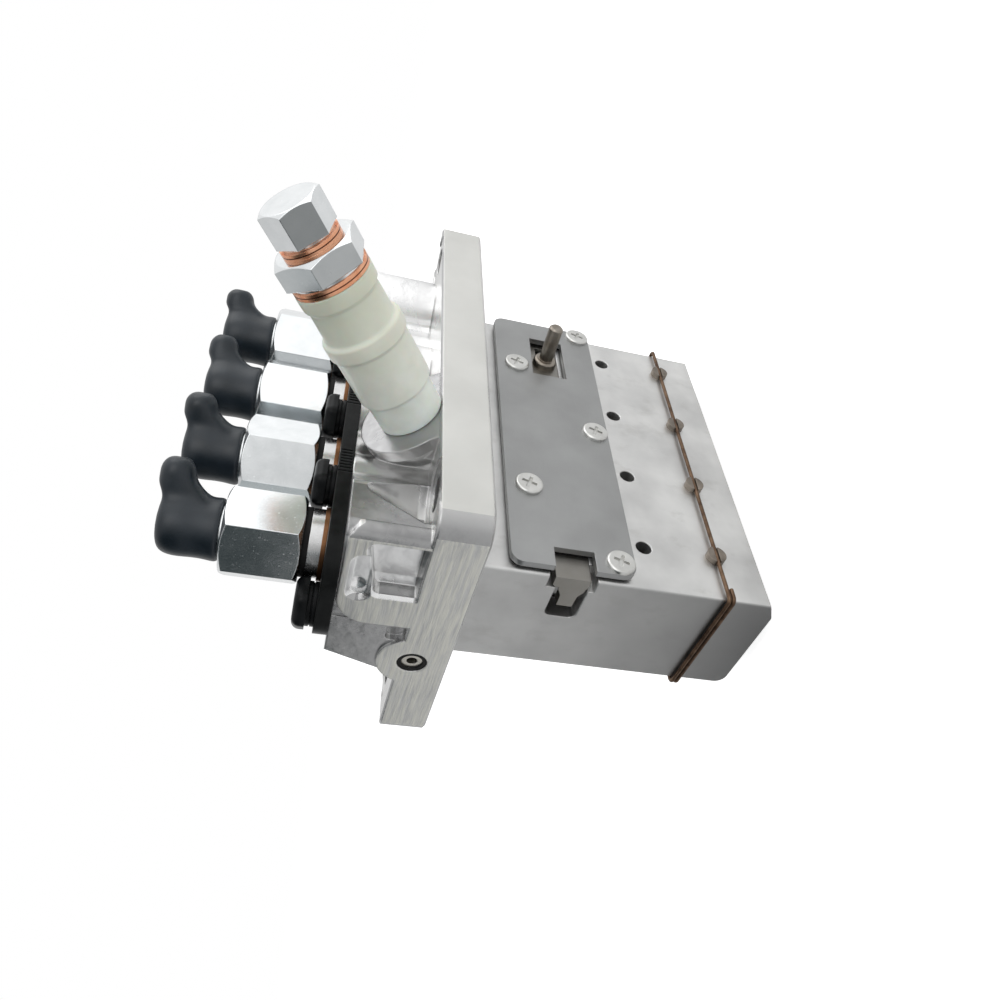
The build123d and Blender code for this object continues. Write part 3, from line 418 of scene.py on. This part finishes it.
def plastic_sleeve():
    """The moulded sleeve with its collar and soft steps."""
    outline = [(6.6, 0.0), (7.9, 0.0), (8.0, 8.3), (8.8, 8.9), (8.75, 21.8), (9.4, 22.4), (9.35, 25.9),
               (8.3, 26.4), (8.1, 34.2), (8.75, 34.9), (8.8, 38.5), (6.6, 38.5)]
    turn = Matrix.Rotation(radians(inlet_lean), 4, "X")
    mesh = revolved(rounded(outline, 0.55), turn, Vector(inlet_foot) * MM)
    piece = finish_piece(mesh, "moulded_sleeve", "pump_body", "sleeve_plastic", 50)
    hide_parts("inlet_sleeve")


def grown_loop(mesh, loop):
    """Extrudes a loop of edges in place and gives back its new vertices and edges."""
    grown = bmesh.ops.extrude_edge_only(mesh, edges=loop)["geom"]
    verts = [item for item in grown if isinstance(item, bmesh.types.BMVert)]
    return verts, [item for item in grown if isinstance(item, bmesh.types.BMEdge)]


def cap_shell():
    """A round cap with a closed end above and a wall that turns in at its mouth and runs up inside."""
    # Radius and height of each ring, from the mouth to the closed end.
    rings = [(7.4, 56.1), (7.6, 57.2), (7.25, 59.4), (7.2, 62.2), (7.5, 65.4), (6.8, 69.0)]
    mouth_share = 0.83
    bore_depth = 12.5
    mesh = bmesh.new()
    lip = bmesh.ops.create_circle(mesh, cap_ends=False, radius=rings[0][0] * MM, segments=12)["verts"]
    bmesh.ops.translate(mesh, verts=lip, vec=(0, 0, rings[0][1] * MM))
    rim = list(mesh.edges)
    loop = rim
    for (radius, height), (before, low) in zip(rings[1:], rings):
        moved, loop = grown_loop(mesh, loop)
        bmesh.ops.scale(mesh, vec=(radius / before, radius / before, 1), verts=moved)
        bmesh.ops.translate(mesh, verts=moved, vec=(0, 0, (height - low) * MM))
    end = bmesh.ops.contextual_create(mesh, geom=loop)["faces"]
    bmesh.ops.inset_region(mesh, faces=end, thickness=3.2 * MM, depth=0.9 * MM)
    moved, loop = grown_loop(mesh, rim)
    bmesh.ops.scale(mesh, vec=(mouth_share, mouth_share, 1), verts=moved)
    moved, loop = grown_loop(mesh, loop)
    bmesh.ops.translate(mesh, verts=moved, vec=(0, 0, bore_depth * MM))
    bmesh.ops.contextual_create(mesh, geom=loop)
    bmesh.ops.recalc_face_normals(mesh, faces=mesh.faces)
    return mesh


def is_root(face):
    """Whether the finger grows from this face, on the +X side near the closed end."""
    middle = face.calc_center_median() / MM
    return middle.z > 59.6 and middle.x > 6.3 and abs(face.normal.z) < 0.7


def shape_section(verts, reach, height, half_height, half_width):
    """Lays the vertices of a finger's section on a flat rounded frame, square to X."""
    lows = [min(vert.co[axis] for vert in verts) for axis in (1, 2)]
    highs = [max(vert.co[axis] for vert in verts) for axis in (1, 2)]
    for vert in verts:
        across, along = [2 * (vert.co[axis] - low) / (high - low) - 1
                         for axis, low, high in zip((1, 2), lows, highs)]
        corner = 1 - 0.16 * abs(across * along)
        vert.co = Vector((reach, across * half_width * corner, height + along * half_height * corner)) * MM


def grow_finger(mesh, length):
    """Draws the root faces out into a finger, of this share of the longest one's length."""
    root = [face for face in mesh.faces if is_root(face)]
    wall_radius = 7.0
    # Distance from the cap's axis, height, half height and half width of each section.
    sections = ((8.8, 66.2, 4.7, 4.0), (10.8, 66.8, 4.1, 4.1), (12.9, 66.9, 4.1, 4.1), (14.9, 66.8, 2.7, 2.7))
    for reach, height, half_height, half_width in sections:
        grown = bmesh.ops.extrude_face_region(mesh, geom=root)["geom"]
        bmesh.ops.delete(mesh, geom=root, context="FACES")
        root = [item for item in grown if isinstance(item, bmesh.types.BMFace)]
        moved = [item for item in grown if isinstance(item, bmesh.types.BMVert)]
        shape_section(moved, wall_radius + (reach - wall_radius) * length, height, half_height, half_width)


def dipped_cap(name, node, x, turn, length):
    """A dipped cap: a round body whose closed end runs out into a thick soft finger."""
    mesh = cap_shell()
    grow_finger(mesh, length)
    place = Matrix.Translation((x * MM, 0, 0)) @ Matrix.Rotation(radians(turn), 4, "Z")
    bmesh.ops.transform(mesh, verts=mesh.verts, matrix=place)
    piece = finish_piece(mesh, name, "pump_body", "cap_vinyl", 180)
    soft = piece.modifiers.new("soft", "SUBSURF")
    soft.levels = 3
    soft.render_levels = 3
    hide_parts(node)


plastic_sleeve()
# Turn about the cap's axis in degrees and share of the full length, from the front cap to the rear one.
fingers = ((-55.0, 1.0), (-62.0, 0.88), (-38.0, 0.92), (-46.0, 0.76))
for k, (x, (turn, length)) in enumerate(zip(element_row, fingers), start=1):
    dipped_cap(f"dipped_cap_{k}", f"union_cap_{k}", x, turn, length)


def camera():
    """The photograph's camera, solved from the row of elements and the flange."""
    right = Vector((-0.044734, -0.255114, -0.965876))
    down = Vector((-0.69647, 0.701102, -0.152923))
    forward = Vector((0.71619, 0.665863, -0.209042))
    at = Vector((-0.167636, -0.143374, 0.035582))
    data = bpy.data.cameras.new("camera")
    data.sensor_width = 36.0
    data.lens = 29.626
    data.clip_start = 0.005
    data.clip_end = 20.0
    eye = bpy.data.objects.new("camera", data)
    turn = Matrix((right, -down, -forward)).transposed().to_4x4()
    eye.matrix_world = Matrix.Translation(at) @ turn
    bpy.context.scene.collection.objects.link(eye)
    bpy.context.scene.camera = eye


def floor():
    """A pale floor just under the rollers. It looks white and keeps a soft shadow."""
    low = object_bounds()[0][2] - 0.2 * MM
    mesh = bmesh.new()
    bmesh.ops.create_grid(mesh, x_segments=1, y_segments=1, size=3.0)
    bmesh.ops.translate(mesh, verts=mesh.verts, vec=(0, 0, low))
    data = bpy.data.meshes.new("floor")
    mesh.to_mesh(data)
    mesh.free()
    piece = bpy.data.objects.new("floor", data)
    bpy.context.scene.collection.objects.link(piece)
    paint = bpy.data.materials.new("floor_paint")
    paint.use_nodes = True
    tree = paint.node_tree
    tree.nodes.remove(tree.nodes["Principled BSDF"])
    diffuse = tree.nodes.new("ShaderNodeBsdfDiffuse")
    diffuse.inputs["Color"].default_value = (0.86, 0.86, 0.86, 1)
    glow = tree.nodes.new("ShaderNodeEmission")
    glow.inputs["Strength"].default_value = 0.78
    both = tree.nodes.new("ShaderNodeAddShader")
    tree.links.new(diffuse.outputs[0], both.inputs[0])
    tree.links.new(glow.outputs[0], both.inputs[1])
    paths = tree.nodes.new("ShaderNodeLightPath")
    seen = tree.nodes.new("ShaderNodeMixShader")
    tree.links.new(paths.outputs["Is Camera Ray"], seen.inputs[0])
    tree.links.new(diffuse.outputs[0], seen.inputs[1])
    tree.links.new(both.outputs[0], seen.inputs[2])
    tree.links.new(seen.outputs[0], tree.nodes["Material Output"].inputs["Surface"])
    data.materials.append(paint)
    piece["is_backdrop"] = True


def softbox(name, at, towards, size, power):
    """A square area light that faces a point."""
    data = bpy.data.lights.new(name, "AREA")
    data.shape = "SQUARE"
    data.size = size
    data.energy = power
    lamp = bpy.data.objects.new(name, data)
    lamp.location = at
    lamp.rotation_euler = (Vector(towards) - Vector(at)).to_track_quat("-Z", "Y").to_euler()
    bpy.context.scene.collection.objects.link(lamp)


def room_light(x, y, z):
    """How bright the room is in a direction, and how much of its dark side lies there.

    bright grows towards the photograph's upper edge. card and glow stand on the inlet's side, and
    back behind the part. The front flats of the hexagons mirror the dark side.
    """
    bright = x * 0.696 + y * -0.701 + z * 0.153
    dark = (x * -0.866 + y * 0.5).to(0.58, 0.80) * z.to(-0.24, -0.04)
    card = (x * -0.26 + y * -0.966).to(0.80, 0.95) * z.to(-0.18, -0.05)
    glow = (x * 0.60 + y * -0.80).to(0.70, 0.92) * 0.22
    back = y.to(0.70, 0.95) * z.to(-0.30, -0.10)
    level = (0.69 + bright * 0.43 + card * 0.35 + back * 0.35 + glow) * (1 - dark * 0.88)
    return level, dark


def studio():
    """A pale room that lights the part but shows as plain white, and two soft lamps."""
    world = bpy.data.worlds.new("room")
    world.use_nodes = True
    bpy.context.scene.world = world
    tree = world.node_tree
    towards = tree.nodes.new("ShaderNodeTexCoord")
    split = tree.nodes.new("ShaderNodeSeparateXYZ")
    tree.links.new(towards.outputs["Generated"], split.inputs[0])
    level, dark = room_light(*[Value(tree, socket) for socket in split.outputs])
    room = tree.nodes["Background"]
    tint = tree.nodes.new("ShaderNodeMix")
    tint.data_type = "RGBA"
    tint.inputs[6].default_value = (1, 1, 1, 1)
    tint.inputs[7].default_value = (0.74, 0.95, 1, 1)
    tree.links.new(dark.socket, tint.inputs[0])
    tree.links.new(tint.outputs[2], room.inputs["Color"])
    tree.links.new(level.socket, room.inputs["Strength"])
    seen = tree.nodes.new("ShaderNodeBackground")
    seen.inputs["Color"].default_value = (1, 1, 1, 1)
    seen.inputs["Strength"].default_value = 1.0
    paths = tree.nodes.new("ShaderNodeLightPath")
    both = tree.nodes.new("ShaderNodeMixShader")
    tree.links.new(paths.outputs["Is Camera Ray"], both.inputs[0])
    tree.links.new(room.outputs[0], both.inputs[1])
    tree.links.new(seen.outputs[0], both.inputs[2])
    tree.links.new(both.outputs[0], tree.nodes["World Output"].inputs["Surface"])
    softbox("key", (0.42, -0.46, 0.38), (0, 0, 0), 0.5, 0.9)
    softbox("fill", (-0.30, -0.50, 0.35), (0, 0, 0), 0.4, 0.6)


camera()
floor()
studio()
bpy.context.scene.view_settings.view_transform = "Standard"
